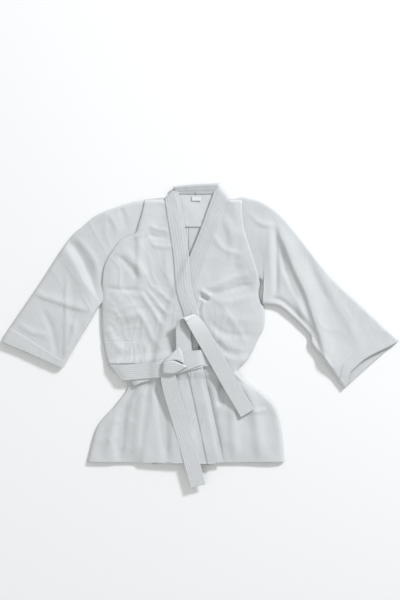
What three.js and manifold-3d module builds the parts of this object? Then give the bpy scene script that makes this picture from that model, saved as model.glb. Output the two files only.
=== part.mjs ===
// Martial arts jacket with its tied belt, lying flat on its back.
// Units are millimetres. +Z is up, +Y runs from the waist to the collar, and "right" and "left"
// are the wearer's, so the wearer's right side is at -X. The origin is under the back of the
// waist, on the surface that the jacket lies on.
import * as THREE from 'three';
import { mergeVertices } from 'three/addons/utils/BufferGeometryUtils.js';
import Module from 'manifold-3d';

const wasm = await Module();
wasm.setup();

// ---- Driving dimensions ------------------------------------------------------------------

const GAP = 0.3; // clearance between pieces that touch
const GRID = 26; // spacing of the height grid that the cloth layers share

// Heights above the waist (Y) of the jacket's levels.
const NECK_Y = 468; // top edge of the back collar, at its middle
const SHOULDER_Y = 431; // shoulder line
const ARMPIT_Y = 162;
const HEM_Y = -252;

// Sideways places (X) of the side seams: how far each side lies from the centre back seam.
const SHOULDER_X = { right: -128, left: 128 };
const ARMPIT_X = { right: -226, left: 194 };
const RIB_X = { right: -223, left: 198 };
const WAIST_X = { right: -201, left: 144 };
const NIP_X = { right: -152, left: 118 }; // narrowest point, just under the belt
const HIP_X = { right: -234, left: 224 };
const HEM_X = { right: -262, left: 250 };
const NIP_Y = { right: -57, left: -18 };

// Collar and lapels: one long quilted band.
const BAND_WIDTH = 42;
const BAND_THICK = 6;
const COLLAR_X = 21; // middle of the back collar
const COLLAR_HALF = 54;
const COLLAR_DEPTH = 25; // height of the collar's standing inner face
const LAPEL_ROOT = { right: -61, left: 108 }; // where each lapel's seam leaves the shoulder

// Cloth.
const CLOTH_THICK = 4; // one laid layer with its creases
const LINING_THICK = 1.5;
const YOKE_DEPTH = 84; // height of the shoulder lining inside the back
const LABEL = { width: 24, height: 12, thick: 0.8, x: 10 };
const LABEL_TOP_Y = 438;

// Sleeves: flat tubes.
const SLEEVE_THICK = 14;
const SLEEVE_PLY = 3.5; // each of the two layers
const SLEEVE_RIM = 8; // folded edge
const HEAD_LENGTH = { right: 208, left: 120 }; // rounded head, from the shoulder point
const HEAD_AIM = { right: -150, left: -23 }; // its direction, in degrees from +X
const HEAD_RISE = { right: 22, left: 30 }; // how far its curve is pulled outwards
const SLEEVE_LENGTH = { right: 320, left: 447 }; // straight outer edge, from the head to the cuff
const SLEEVE_AIM = { right: -123.3, left: -46 };
const CUFF_WIDTH = { right: 173, left: 190 };
const CUFF_AIM = { right: -23, left: -139 }; // direction of the cuff edge, from its outer corner
const CUFF_HEM = 28; // stitched hem at the cuff

// Belt.
const BELT_WIDTH = 41;
const BELT_THICK = 2.6;
const KNOT_TOP = 44;
const LOOP_TOP = 40; // underside of the strap where it turns over at the top of its loop
const TAIL_LENGTH = { right: 300, left: 300 };
const TAIL_START = { right: { x: -50, y: -22 }, left: { x: -8, y: 128 } };
const TAIL_AIM = { right: -75.2, left: -57.3 };
const TAIL_FALL = { right: 0.1, left: 0.075 }; // slope of each tail before it meets the cloth
const TAIL_EXIT = { right: 31, left: LOOP_TOP }; // height of each tail's underside at its start
const BELT_SIDE_Y = { right: -23, left: -8 }; // where the outer turn goes round each side
const SLIP = { x: 11, y: -21 }; // how far the inner turn has slipped from the outer at the right
const PATCH = { width: 78, top: 62, beside: 6, above: 4.5, thick: 1.4 };
const TIE = { width: 14, thick: 1.4, y: 98 };

// ---- Materials ---------------------------------------------------------------------------

const cloth = new THREE.MeshStandardMaterial({ color: 0xe6eaf0, roughness: 0.92, metalness: 0 });
const lining = new THREE.MeshStandardMaterial({ color: 0xdfe3e8, roughness: 0.92, metalness: 0 });
const webbing = new THREE.MeshStandardMaterial({ color: 0xeceff4, roughness: 0.88, metalness: 0 });
const labelCloth = new THREE.MeshStandardMaterial({ color: 0xf2f3f5, roughness: 0.75, metalness: 0 });

// ---- Geometry helpers --------------------------------------------------------------------

const point = (x, y) => new THREE.Vector2(x, y);

function toSolid(geometry) {
  const bare = geometry.clone();
  bare.deleteAttribute('normal');
  bare.deleteAttribute('uv');
  const merged = mergeVertices(bare, 1e-4);
  return new wasm.Manifold(new wasm.Mesh({
    numProp: 3,
    vertProperties: new Float32Array(merged.attributes.position.array),
    triVerts: new Uint32Array(merged.index.array),
  }));
}

function toGeometry(solid) {
  const mesh = solid.getMesh();
  const geometry = new THREE.BufferGeometry();
  geometry.setAttribute('position', new THREE.BufferAttribute(mesh.vertProperties, 3));
  geometry.setIndex(new THREE.BufferAttribute(mesh.triVerts, 1));
  geometry.computeVertexNormals();
  return geometry;
}

// Upright prism on a plan outline, from z = low to z = high.
function prism(outline, low, high) {
  const geometry = new THREE.ExtrudeGeometry(new THREE.Shape(outline), {
    depth: high - low,
    bevelEnabled: false,
    curveSegments: 8,
  });
  geometry.translate(0, 0, low);
  return toSolid(geometry);
}

// Plan outline moved outwards (or inwards, when distance is negative).
function grow(outline, distance) {
  const turn = Math.sign(THREE.ShapeUtils.area(outline));
  return outline.map((corner, i) => {
    const before = outline[(i + outline.length - 1) % outline.length];
    const after = outline[(i + 1) % outline.length];
    const a = corner.clone().sub(before).normalize();
    const b = after.clone().sub(corner).normalize();
    const normal = point(a.y + b.y, -a.x - b.x).normalize().multiplyScalar(turn);
    const mitre = Math.max(0.5, Math.abs(normal.dot(point(a.y, -a.x))));
    return corner.clone().addScaledVector(normal, distance / mitre);
  });
}

// Signed distance from a place to an outline: negative inside it.
function distanceTo(outline, x, y) {
  let nearest = Infinity;
  let inside = false;
  outline.forEach((a, i) => {
    const b = outline[(i + 1) % outline.length];
    const ab = b.clone().sub(a);
    const t = THREE.MathUtils.clamp(((x - a.x) * ab.x + (y - a.y) * ab.y) / ab.lengthSq(), 0, 1);
    nearest = Math.min(nearest, Math.hypot(x - a.x - t * ab.x, y - a.y - t * ab.y));
    const crosses = (a.y > y) !== (b.y > y);
    if (crosses && x < a.x + ((y - a.y) / ab.y) * ab.x) {
      inside = !inside;
    }
  });
  return inside ? -nearest : nearest;
}

// Slab between two height functions, on the shared grid, over the box of an outline.
function gridSlab(outline, floor, top) {
  const box = new THREE.Box2().setFromPoints(outline);
  const i0 = Math.floor(box.min.x / GRID) - 1;
  const j0 = Math.floor(box.min.y / GRID) - 1;
  const columns = Math.ceil(box.max.x / GRID) + 1 - i0;
  const rows = Math.ceil(box.max.y / GRID) + 1 - j0;
  const positions = [];
  for (const height of [floor, top]) {
    for (let j = 0; j <= rows; j++) {
      for (let i = 0; i <= columns; i++) {
        const x = (i0 + i) * GRID;
        const y = (j0 + j) * GRID;
        positions.push(x, y, height(x, y));
      }
    }
  }
  const layer = (columns + 1) * (rows + 1);
  const at = (i, j, level) => level * layer + j * (columns + 1) + i;
  const faces = [];
  const quad = (a, b, c, d) => faces.push(a, b, c, a, c, d);
  for (let j = 0; j < rows; j++) {
    for (let i = 0; i < columns; i++) {
      quad(at(i, j, 1), at(i + 1, j, 1), at(i + 1, j + 1, 1), at(i, j + 1, 1));
      faces.push(at(i, j, 0), at(i + 1, j + 1, 0), at(i + 1, j, 0));
      faces.push(at(i, j, 0), at(i, j + 1, 0), at(i + 1, j + 1, 0));
    }
  }
  for (let i = 0; i < columns; i++) {
    quad(at(i, 0, 0), at(i + 1, 0, 0), at(i + 1, 0, 1), at(i, 0, 1));
    quad(at(i + 1, rows, 0), at(i, rows, 0), at(i, rows, 1), at(i + 1, rows, 1));
  }
  for (let j = 0; j < rows; j++) {
    quad(at(0, j + 1, 0), at(0, j, 0), at(0, j, 1), at(0, j + 1, 1));
    quad(at(columns, j, 0), at(columns, j + 1, 0), at(columns, j + 1, 1), at(columns, j, 1));
  }
  const geometry = new THREE.BufferGeometry();
  geometry.setAttribute('position', new THREE.Float32BufferAttribute(positions, 3));
  geometry.setIndex(faces);
  return toSolid(geometry);
}

const TALL = 200;

function between(outline, floor, top) {
  return prism(outline, -TALL, TALL).intersect(gridSlab(outline, floor, top));
}

// The pile: the height of everything laid down so far. A layer that is added lies on it, and
// raises it over its own outline and one grid cell round it, then lets it fall away again.
let pile = () => 0;
const REACH = GRID * 1.45;
const FALL = GRID * 1.4;

function cover(outline, x, y) {
  return 1 - THREE.MathUtils.smoothstep(distanceTo(outline, x, y), REACH, REACH + FALL);
}

function raise(outline, top) {
  const below = pile;
  const known = new Map();
  pile = (x, y) => {
    const key = `${x},${y}`;
    if (!known.has(key)) {
      known.set(key, below(x, y) + cover(outline, x, y) * (top(x, y) + GAP - below(x, y)));
    }
    return known.get(key);
  };
}

function layDown(outline, thick) {
  const floor = pile;
  const top = (x, y) => floor(x, y) + thick;
  const solid = between(outline, floor, top);
  raise(outline, top);
  return solid;
}

// Plan line moved sideways: to the left of its own direction when distance is positive.
function besideLine(line, distance) {
  return line.map((here, i) => {
    const before = line[Math.max(i - 1, 0)];
    const after = line[Math.min(i + 1, line.length - 1)];
    const along = after.clone().sub(before).normalize();
    return point(here.x - along.y * distance, here.y + along.x * distance);
  });
}

// Strap outline: constant width along a plan line.
function strap(line, width) {
  return [...besideLine(line, -width / 2), ...besideLine(line, width / 2).reverse()];
}

// ---- Shared outlines ---------------------------------------------------------------------

const shoulder = {
  right: point(SHOULDER_X.right, SHOULDER_Y),
  left: point(SHOULDER_X.left, SHOULDER_Y),
};
const armpit = {
  right: point(ARMPIT_X.right, ARMPIT_Y),
  left: point(ARMPIT_X.left, ARMPIT_Y),
};

// Side edge of the body from the shoulder to the hem.
function sideEdge(side) {
  return [
    shoulder[side],
    armpit[side],
    point(RIB_X[side], ARMPIT_Y / 2),
    point(WAIST_X[side], 0),
    point(NIP_X[side], NIP_Y[side]),
    point(HIP_X[side], (NIP_Y[side] + HEM_Y) / 2),
    point(HEM_X[side], HEM_Y),
  ];
}

const bodyOutline = [
  ...sideEdge('right'),
  ...sideEdge('left').reverse(),
];

// Lapel band, as its free edge from the collar to the hem, and its seam beside it.
const lapelEdge = {
  right: [
    point(COLLAR_X - COLLAR_HALF, NECK_Y - 4),
    point(COLLAR_X - COLLAR_HALF + 10, NECK_Y - COLLAR_DEPTH),
    point(-8, 359),
    point(3, 283),
    point(7, 203),
    point(30, 128),
    point(28, 40),
    point(38, 0),
    point(73, -161),
    point(92, HEM_Y),
  ],
  left: [
    point(COLLAR_X + COLLAR_HALF, NECK_Y + 4),
    point(53, 412),
    point(30, 348),
    point(3, 283),
    point(-28, 203),
    point(-58, 120),
    point(-84, 0),
    point(-118, HEM_Y),
  ],
};
// The lapel's seam runs beside its free edge, and starts at the shoulder line.
const lapelSeam = {};
for (const side of ['right', 'left']) {
  const beside = besideLine(lapelEdge[side], side === 'right' ? -BAND_WIDTH : BAND_WIDTH);
  const below = beside.filter((p) => p.y < SHOULDER_Y - BAND_WIDTH);
  below[below.length - 1].y = HEM_Y;
  lapelSeam[side] = [point(LAPEL_ROOT[side], SHOULDER_Y), ...below];
}

function lapelOutline(side) {
  return [...lapelEdge[side], ...lapelSeam[side].slice().reverse()];
}

// Front panel: from the side seam to the lapel's seam.
function frontOutline(side) {
  const seam = lapelSeam[side].map((p) => point(p.x + (side === 'right' ? -GAP : GAP), p.y));
  return [...sideEdge(side), ...seam.reverse()];
}

function backOutline(side) {
  const x = side === 'right' ? -GAP / 2 : GAP / 2;
  const collarSeamY = NECK_Y - COLLAR_DEPTH - GAP;
  return [
    ...sideEdge(side),
    point(x, HEM_Y),
    point(x, collarSeamY),
    point(COLLAR_X + Math.sign(x) * (COLLAR_HALF - 10), collarSeamY),
    point(LAPEL_ROOT[side], SHOULDER_Y),
  ];
}

// ---- Belt round the waist ----------------------------------------------------------------

// Plan lines of the two turns. The outer one is tied, and the inner one slips down at the right.
const OVERHANG = 30; // the lines run past the side seams, and are trimmed to them
const beltRight = point(WAIST_X.right - OVERHANG, BELT_SIDE_Y.right);
const beltLeft = point((WAIST_X.left + NIP_X.left) / 2 + OVERHANG, BELT_SIDE_Y.left);
const slipRight = point(beltRight.x + SLIP.x, beltRight.y + SLIP.y);
const slipLeft = point(beltLeft.x, beltLeft.y - 2);
const turns = {
  outer: {
    front: [beltRight, point(-64, -9), point(20, 18), point(60, 16), beltLeft],
    back: [beltRight, point(-60, 0), point(60, 2), beltLeft],
  },
  inner: {
    front: [slipRight, point(-110, -20), point(20, 12), point(60, 12), slipLeft],
    back: [slipRight, point(-60, -6), point(60, -2), slipLeft],
  },
};

function beltReach(turn) {
  return GAP + (turn === 'outer' ? 2 * BELT_THICK + GAP : BELT_THICK);
}

// One turn: the strap behind the body, the strap in front of it, and its two turned edges.
function beltTurn(turn, backFloor) {
  const trim = grow(bodyOutline, beltReach(turn));
  const hole = grow(bodyOutline, beltReach(turn) - BELT_THICK);
  const front = strap(turns[turn].front, BELT_WIDTH);
  const back = strap(turns[turn].back, BELT_WIDTH);
  const floor = pile;
  const top = (x, y) => floor(x, y) + BELT_THICK;
  const behind = prism(back, backFloor, backFloor + BELT_THICK);
  const before = between(front, floor, top);
  const edges = between(front, () => backFloor, top).subtract(prism(hole, -TALL, TALL));
  raise(front, top);
  return behind.add(before).add(edges).intersect(prism(trim, -TALL, TALL));
}

// ---- Sleeves -----------------------------------------------------------------------------

const polar = (degrees, length) => point(
  Math.cos(THREE.MathUtils.degToRad(degrees)) * length,
  Math.sin(THREE.MathUtils.degToRad(degrees)) * length,
);

// Corners of a sleeve's plan: the shoulder point, the end of the rounded head, the two corners
// of the cuff and the armpit.
function sleeveCorners(side) {
  const out = side === 'right' ? -1 : 1;
  const start = point(shoulder[side].x + out * GAP, shoulder[side].y);
  const head = polar(HEAD_AIM[side], HEAD_LENGTH[side]).add(start);
  const outer = polar(SLEEVE_AIM[side], SLEEVE_LENGTH[side]).add(head);
  const inner = polar(CUFF_AIM[side], CUFF_WIDTH[side]).add(outer);
  const end = point(armpit[side].x + out * GAP, armpit[side].y);
  return { start, head, outer, inner, end };
}

function sleeveOutline(side) {
  const out = side === 'right' ? -1 : 1;
  const { start, head, outer, inner, end } = sleeveCorners(side);
  const bulge = polar(HEAD_AIM[side] + out * 90, HEAD_RISE[side]);
  const middle = start.clone().lerp(head, 0.5).sub(bulge);
  const curve = new THREE.QuadraticBezierCurve(start, middle, head).getPoints(6);
  return [...curve, outer, inner, end];
}

// Part of a plan outline on one side of the line where the cuff's hem begins.
function cuffCut(side) {
  const { outer, inner } = sleeveCorners(side);
  const across = inner.clone().sub(outer).normalize();
  const out = side === 'right' ? -1 : 1;
  const back = point(-across.y, across.x).multiplyScalar(-out);
  const shift = (p, d) => p.clone().addScaledVector(back, d);
  const a = outer.clone().addScaledVector(across, -TALL);
  const b = inner.clone().addScaledVector(across, TALL);
  return (near, far) => prism([shift(a, near), shift(b, near), shift(b, far), shift(a, far)], -TALL, TALL);
}

// A flat tube: the outline's slab, less the space between its two plies, which runs out through
// the cuff.
function sleeveTube(side) {
  const outline = sleeveOutline(side);
  const { head, outer, inner, end } = sleeveCorners(side);
  const shell = prism(outline, 0, SLEEVE_THICK);
  const space = grow(outline, -SLEEVE_RIM);
  const beyond = (from, to) => to.clone().sub(from).setLength(3 * CUFF_HEM);
  space[space.length - 3].add(beyond(head, outer));
  space[space.length - 2].add(beyond(end, inner));
  return shell.subtract(prism(space, SLEEVE_PLY, SLEEVE_THICK - SLEEVE_PLY));
}

// ---- Belt knot and tails -----------------------------------------------------------------

// Direction in which a tail lies, and the height of its underside: it slopes down from where it
// starts until it meets the cloth.
function tailPlan(side) {
  const start = point(TAIL_START[side].x, TAIL_START[side].y);
  const aim = polar(TAIL_AIM[side], 1);
  const end = start.clone().addScaledVector(aim, TAIL_LENGTH[side]);
  const sloped = (x, y) => {
    const along = (x - start.x) * aim.x + (y - start.y) * aim.y;
    return TAIL_EXIT[side] - Math.max(0, along) * TAIL_FALL[side];
  };
  return { start, aim, end, sloped };
}

// ---- Assembly ----------------------------------------------------------------------------

const jacket = new THREE.Group();

function add(name, solid, material) {
  const mesh = new THREE.Mesh(toGeometry(solid), material);
  mesh.name = name;
  jacket.add(mesh);
}

// The belt's back turns lie lowest, and everything else is laid over them in order.
const outerFloor = 0;
const innerFloor = outerFloor + BELT_THICK + GAP;
for (const turn of ['outer', 'inner']) {
  const floor = turn === 'outer' ? outerFloor : innerFloor;
  raise(strap(turns[turn].back, BELT_WIDTH), () => floor + BELT_THICK);
}

function addBacks() {
  const floor = pile;
  const top = (x, y) => floor(x, y) + CLOTH_THICK;
  for (const side of ['right', 'left']) {
    add(`back_panel_${side}`, between(backOutline(side), floor, top), cloth);
  }
  raise(bodyOutline, top);
}

function addLining() {
  const y = NECK_Y - COLLAR_DEPTH - 2 * GAP;
  const outline = [
    point(COLLAR_X - COLLAR_HALF - 4, y),
    point(COLLAR_X + COLLAR_HALF + 4, y),
    point(52, y - YOKE_DEPTH),
    point(-12, y - YOKE_DEPTH),
  ];
  add('yoke_lining', layDown(outline, LINING_THICK), lining);
}

function addInnerTies() {
  const meetX = -112;
  const knotHalf = 9;
  const floor = pile;
  const slab = (outline, thick) => between(outline, floor, (x, y) => floor(x, y) + thick);
  const knotOutline = strap([point(meetX - knotHalf, TIE.y), point(meetX + knotHalf, TIE.y)], TIE.width);
  const room = prism(grow(knotOutline, GAP), -TALL, TALL);
  const sideLine = [point(ARMPIT_X.right + 14, TIE.y - 4), point(meetX, TIE.y)];
  const frontLine = [point(meetX, TIE.y), point(-62, TIE.y + 2)];
  add('inner_tie_side', slab(strap(sideLine, TIE.width), TIE.thick).subtract(room), webbing);
  add('inner_tie_front', slab(strap(frontLine, TIE.width), TIE.thick).subtract(room), webbing);
  add('inner_tie_knot', slab(knotOutline, 3 * TIE.thick), webbing);
  raise(strap([sideLine[0], frontLine[1]], TIE.width), (x, y) => floor(x, y) + 3 * TIE.thick);
}

function addFront(side) {
  const floor = pile;
  const panelTop = (x, y) => floor(x, y) + CLOTH_THICK;
  const bandTop = (x, y) => floor(x, y) + BAND_THICK;
  add(`front_panel_${side}`, between(frontOutline(side), floor, panelTop), cloth);
  add(`lapel_${side}`, between(lapelOutline(side), floor, bandTop), cloth);
  raise(frontOutline(side), panelTop);
  raise(lapelOutline(side), bandTop);
}

// The label is sewn along its top edge, just under the collar's seam, on the shoulder lining.
function addLabel() {
  const low = pile(LABEL.x, LABEL_TOP_Y);
  const outline = [
    point(LABEL.x, LABEL_TOP_Y - LABEL.height),
    point(LABEL.x + LABEL.width, LABEL_TOP_Y - LABEL.height),
    point(LABEL.x + LABEL.width, LABEL_TOP_Y),
    point(LABEL.x, LABEL_TOP_Y),
  ];
  add('neck_label', prism(outline, low, low + LABEL.thick), labelCloth);
}

// The back of the collar stands on the lining's upper edge, and meets both lapels at a fold.
function addCollar() {
  const outline = [
    lapelEdge.right[0],
    point(COLLAR_X, NECK_Y),
    lapelEdge.left[0],
    point(COLLAR_X + COLLAR_HALF - 10, NECK_Y - COLLAR_DEPTH),
    lapelEdge.right[1],
  ];
  const room = ['right', 'left'].map((side) => prism(grow(lapelOutline(side), GAP), -TALL, TALL));
  const collar = between(outline, () => 0, (x, y) => collarTop(x, y));
  add('collar_back', collar.subtract(room[0]).subtract(room[1]), cloth);
}

// The patch over the right side seam ends just above the belt.
function addPatch() {
  const left = WAIST_X.right - PATCH.beside;
  const bottom = BELT_SIDE_Y.right + BELT_WIDTH / 2 + PATCH.above;
  const outline = [
    point(left, PATCH.top),
    point(left, bottom),
    point(left + PATCH.width, bottom),
    point(left + PATCH.width, PATCH.top),
  ];
  add('side_patch_right', layDown(outline, PATCH.thick), cloth);
}

function addSleeve(side) {
  const tube = sleeveTube(side);
  const cut = cuffCut(side);
  add(`sleeve_${side}`, tube.subtract(cut(-TALL, CUFF_HEM + GAP)), cloth);
  add(`cuff_${side}`, tube.intersect(cut(-TALL, CUFF_HEM)), cloth);
}

// The knot: the strap's wrap across the front, and the fold that stands out above it.
const knotWrap = [
  point(-63, 12),
  point(-40, 14),
  point(-9, 1),
  point(-1, -3),
  point(-32, -21),
  point(-66, -20),
];
const knotFold = [
  point(-62, 13),
  point(-24, 48),
  point(-10, 2),
  point(-40, 15),
];
const knotRoom = prism(grow(knotWrap, GAP), -TALL, TALL)
  .add(prism(grow(knotFold, GAP), -TALL, TALL));

function addKnot() {
  const low = pile(-36, 0) + GAP;
  add('belt_knot', prism(knotWrap, low, KNOT_TOP), webbing);
  add('belt_knot_fold', prism(grow(knotFold, -GAP), low, KNOT_TOP - 4), webbing);
}

// The strap's tail, hanging from the knot or from the top of the loop.
function addTail(side, below) {
  const { start, end, sloped } = tailPlan(side);
  const floor = (x, y) => Math.max(below(x, y), sloped(x, y));
  const outline = strap([start, end], BELT_WIDTH);
  const tail = between(outline, floor, (x, y) => floor(x, y) + BELT_THICK);
  add(`belt_tail_${side}`, tail.subtract(knotRoom), webbing);
}

// The strap rises from the knot to the top of the loop, where it turns over into the left tail.
function addLoop(below) {
  const { start, aim, sloped } = tailPlan('left');
  const across = point(-aim.y, aim.x).multiplyScalar(BELT_WIDTH / 2);
  const foot = 44;
  const drop = 0.34;
  const underTail = (x, y) => sloped(x, y) - GAP - BELT_THICK - Math.max(0, start.y - y) * drop;
  const floor = (x, y) => Math.max(below(x, y), underTail(x, y));
  const outline = [
    point(start.x - across.x - 8, foot),
    point(start.x - across.x + BELT_WIDTH - 8, foot),
    start.clone().add(across),
    start.clone().sub(across),
  ];
  const loop = between(outline, floor, (x, y) => floor(x, y) + BELT_THICK);
  add('belt_loop', loop.subtract(knotRoom), webbing);
}

addBacks();
addLining();
const labelLevel = pile;
addLabel();
addInnerTies();
addFront('left');
addFront('right');
const collarTop = (x, y) => labelLevel(x, y) + BAND_THICK + CLOTH_THICK;
addCollar();
addPatch();
add('belt_inner_turn', beltTurn('inner', innerFloor), webbing);
add('belt_outer_turn', beltTurn('outer', outerFloor), webbing);
addKnot();
addLoop(pile);
addTail('left', pile);
addTail('right', pile);
addSleeve('right');
addSleeve('left');

export default jacket;
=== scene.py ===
# %% [markdown]
# # A martial arts jacket, laid flat with its belt tied
#
# The jacket lies on its back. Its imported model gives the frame, and each cell below makes one
# kind of piece in that frame: the laid cloth, the flat sleeves, the quilted band, the belt.
# Plan sizes are in millimetres, and become metres when a mesh is made.

# %% The frame
import bpy
import numpy as np
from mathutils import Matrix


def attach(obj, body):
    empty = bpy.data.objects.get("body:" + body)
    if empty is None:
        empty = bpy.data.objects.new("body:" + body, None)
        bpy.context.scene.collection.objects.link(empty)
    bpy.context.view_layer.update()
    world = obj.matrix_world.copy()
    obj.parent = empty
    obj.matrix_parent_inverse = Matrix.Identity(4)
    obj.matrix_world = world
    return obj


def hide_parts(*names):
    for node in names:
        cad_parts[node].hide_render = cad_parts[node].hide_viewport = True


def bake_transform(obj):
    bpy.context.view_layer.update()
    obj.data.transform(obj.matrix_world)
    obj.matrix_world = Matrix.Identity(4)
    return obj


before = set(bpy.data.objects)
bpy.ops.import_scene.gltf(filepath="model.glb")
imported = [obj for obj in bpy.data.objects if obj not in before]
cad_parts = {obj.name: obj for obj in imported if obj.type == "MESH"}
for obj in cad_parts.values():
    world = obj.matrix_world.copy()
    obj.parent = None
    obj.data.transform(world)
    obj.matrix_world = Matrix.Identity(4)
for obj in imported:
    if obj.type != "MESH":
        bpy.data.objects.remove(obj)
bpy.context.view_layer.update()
MM = 0.001

# %% [markdown]
# ## Camera, floor and light
#
# The camera looks straight down. The key lamp stands low at the upper right, so every fold has a
# narrow shadow on its lower left. A weak fill lamp and a pale surround light the rest.

# %% Camera, floor and light
CAMERA_HEIGHT = 3.0
VIEW_WIDTH = 1.04
VIEW_CENTRE = (0.0312, 0.169)
SENSOR = 36.0
LAMP_TARGET = (0, 0.1, 0)
KEY_PLACE = (3.1, 3.4, 2.8)
KEY_TINT = (0.94, 0.955, 1.0)
FILL_PLACE = (-1.6, -0.8, 2.4)

view_data = bpy.data.cameras.new("overhead camera")
view_data.sensor_fit = "HORIZONTAL"
view_data.sensor_width = SENSOR
view_data.lens = SENSOR * CAMERA_HEIGHT / VIEW_WIDTH
camera = bpy.data.objects.new("overhead camera", view_data)
camera.location = (*VIEW_CENTRE, CAMERA_HEIGHT)
bpy.context.collection.objects.link(camera)
bpy.context.scene.camera = camera


def lamp(name, place, size, power, tint=(1, 1, 1)):
    """A round lamp that faces the jacket, with its width in metres and its power in watts."""
    data = bpy.data.lights.new(name, "AREA")
    data.color = tint
    data.shape = "DISK"
    data.size = size
    data.energy = power
    made = bpy.data.objects.new(name, data)
    made.location = place
    aim = made.location - type(made.location)(LAMP_TARGET)
    made.rotation_euler = aim.to_track_quat("Z", "Y").to_euler()
    bpy.context.collection.objects.link(made)


lamp("key lamp", KEY_PLACE, size=0.9, power=236, tint=KEY_TINT)
lamp("fill lamp", FILL_PLACE, size=1.8, power=8)

surround = bpy.data.worlds.new("pale surround")
surround.use_nodes = True
glow = surround.node_tree.nodes["Background"].inputs
glow["Color"].default_value = (0.975, 1.0, 0.985, 1)
glow["Strength"].default_value = 0.54
bpy.context.scene.world = surround
bpy.context.scene.view_settings.view_transform = "Standard"

bpy.ops.mesh.primitive_plane_add(size=8, location=(0, 0, -0.0005))
floor = bpy.context.object
floor.name = "floor"

# %% [markdown]
# ## Node trees
#
# A shading tree and a geometry tree are wired the same way. A bench adds a node with its kind,
# its settings and what feeds its sockets. A wire is a number on its way between nodes, and
# adding or multiplying wires adds the maths node that does it.


# %% Node trees
class Wire:
    def __init__(self, bench, socket):
        self.bench = bench
        self.socket = socket

    def maths(self, operation, *others):
        made = self.bench.node("ShaderNodeMath", {"operation": operation})
        for slot, value in zip(made.inputs, others):
            self.bench.feed(slot, value)
        return Wire(self.bench, made.outputs[0])

    def __add__(self, other):
        return self.maths("ADD", self, other)

    def __sub__(self, other):
        return self.maths("SUBTRACT", self, other)

    def __mul__(self, other):
        return self.maths("MULTIPLY", self, other)

    def __rmul__(self, other):
        return self.maths("MULTIPLY", other, self)


class Bench:
    def __init__(self, tree):
        self.tree = tree

    def feed(self, slot, value):
        if isinstance(value, Wire):
            self.tree.links.new(value.socket, slot)
        else:
            slot.default_value = value

    def node(self, kind, settings=None, sockets=None):
        made = self.tree.nodes.new(kind)
        for name, value in (settings or {}).items():
            setattr(made, name, value)
        for name, value in (sockets or {}).items():
            self.feed(made.inputs[name], value)
        return made

    def wire(self, kind, settings=None, sockets=None, out=0):
        return Wire(self, self.node(kind, settings, sockets).outputs[out])


# %% [markdown]
# ## Cloth and thread
#
# The jacket is a plain white cotton. Its weave is two crossed waves of threads, a little uneven,
# that only bump the surface. The band and the belt are the same cotton in heavier cloths. Each
# differs in its tint, its thread spacing and how strongly the weave stands out.


# %% Cloth and thread
SLUB_DEPTH = 1.1
CRUMPLE_DEPTH = 1.8
CLOUD = 0.03  # how much lighter and darker than its tint a cloth is in places


def woven(name, tint, thread_mm, depth, roughness):
    """A plain-woven cotton: its tint, the spacing of its threads and how deep they stand."""
    material = bpy.data.materials.new(name)
    material.use_nodes = True
    bench = Bench(material.node_tree)
    surface = bench.tree.nodes["Principled BSDF"]
    place = bench.wire("ShaderNodeTexCoord", out=3)

    def threads(direction):
        settings = {"wave_type": "BANDS", "bands_direction": direction}
        # A wave repeats 10 times in 2 pi metres for each unit of its scale.
        scale = 2 * np.pi / (20 * thread_mm * MM)
        sockets = {"Vector": place, "Scale": scale, "Distortion": 1.2, "Detail": 1.0}
        return bench.wire("ShaderNodeTexWave", settings, sockets, out=1)

    weave = threads("X") * threads("Y") + 0.5 * threads("DIAGONAL")
    slub = bench.wire("ShaderNodeTexNoise", None, {"Vector": place, "Scale": 70.0, "Detail": 4.0})
    crumple = bench.wire("ShaderNodeTexNoise", None, {"Vector": place, "Scale": 24.0, "Detail": 4.0})
    height = weave * depth + slub * SLUB_DEPTH + crumple * CRUMPLE_DEPTH
    bump_sockets = {"Height": height, "Strength": 0.55, "Distance": 0.0011}
    bench.feed(surface.inputs["Normal"], bench.wire("ShaderNodeBump", None, bump_sockets))

    tints = bench.node("ShaderNodeMix", {"data_type": "RGBA"})
    tints.inputs[6].default_value = (*(c * (1 - CLOUD) for c in tint), 1)
    tints.inputs[7].default_value = (*(c * (1 + CLOUD) for c in tint), 1)
    bench.feed(tints.inputs[0], bench.wire("ShaderNodeTexNoise", None, {"Vector": place, "Scale": 9.0}))
    bench.tree.links.new(tints.outputs[2], surface.inputs["Base Color"])
    surface.inputs["Roughness"].default_value = roughness
    surface.inputs["Sheen Weight"].default_value = 0.12
    surface.inputs["Specular IOR Level"].default_value = 0.25
    return material


def plain(name, tint, roughness):
    material = bpy.data.materials.new(name)
    material.use_nodes = True
    surface = material.node_tree.nodes["Principled BSDF"]
    surface.inputs["Base Color"].default_value = (*tint, 1)
    surface.inputs["Roughness"].default_value = roughness
    return material


jacket_cotton = woven("white jacket cotton", (0.672, 0.688, 0.697), 1.1, 0.5, 0.92)
band_cotton = woven("quilted band cotton", (0.665, 0.68, 0.69), 0.9, 0.6, 0.9)
lining_cotton = woven("shoulder lining cotton", (0.70, 0.715, 0.722), 0.8, 0.4, 0.9)
belt_cotton = woven("belt cotton", (0.70, 0.712, 0.722), 1.0, 0.7, 0.88)
label_satin = plain("label satin", (0.74, 0.75, 0.765), 0.6)
white_thread = plain("white sewing thread", (0.70, 0.715, 0.725), 0.7)
floor_paper = plain("white floor paper", (0.93, 0.93, 0.93), 0.9)
floor.data.materials.append(floor_paper)
print("finishes:", [m.name for m in bpy.data.materials])

# %% [markdown]
# ## Lines and laid sheets
#
# Every piece of cloth starts in plan. Four lines round it (two sides, a near end and a far end)
# are filled with a grid that is ruled between them, and each place of the grid then gets its
# height. A smooth line passes through a few chosen points.


# %% Lines and laid sheets
def plan(*points):
    return np.array(points, float)


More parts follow.
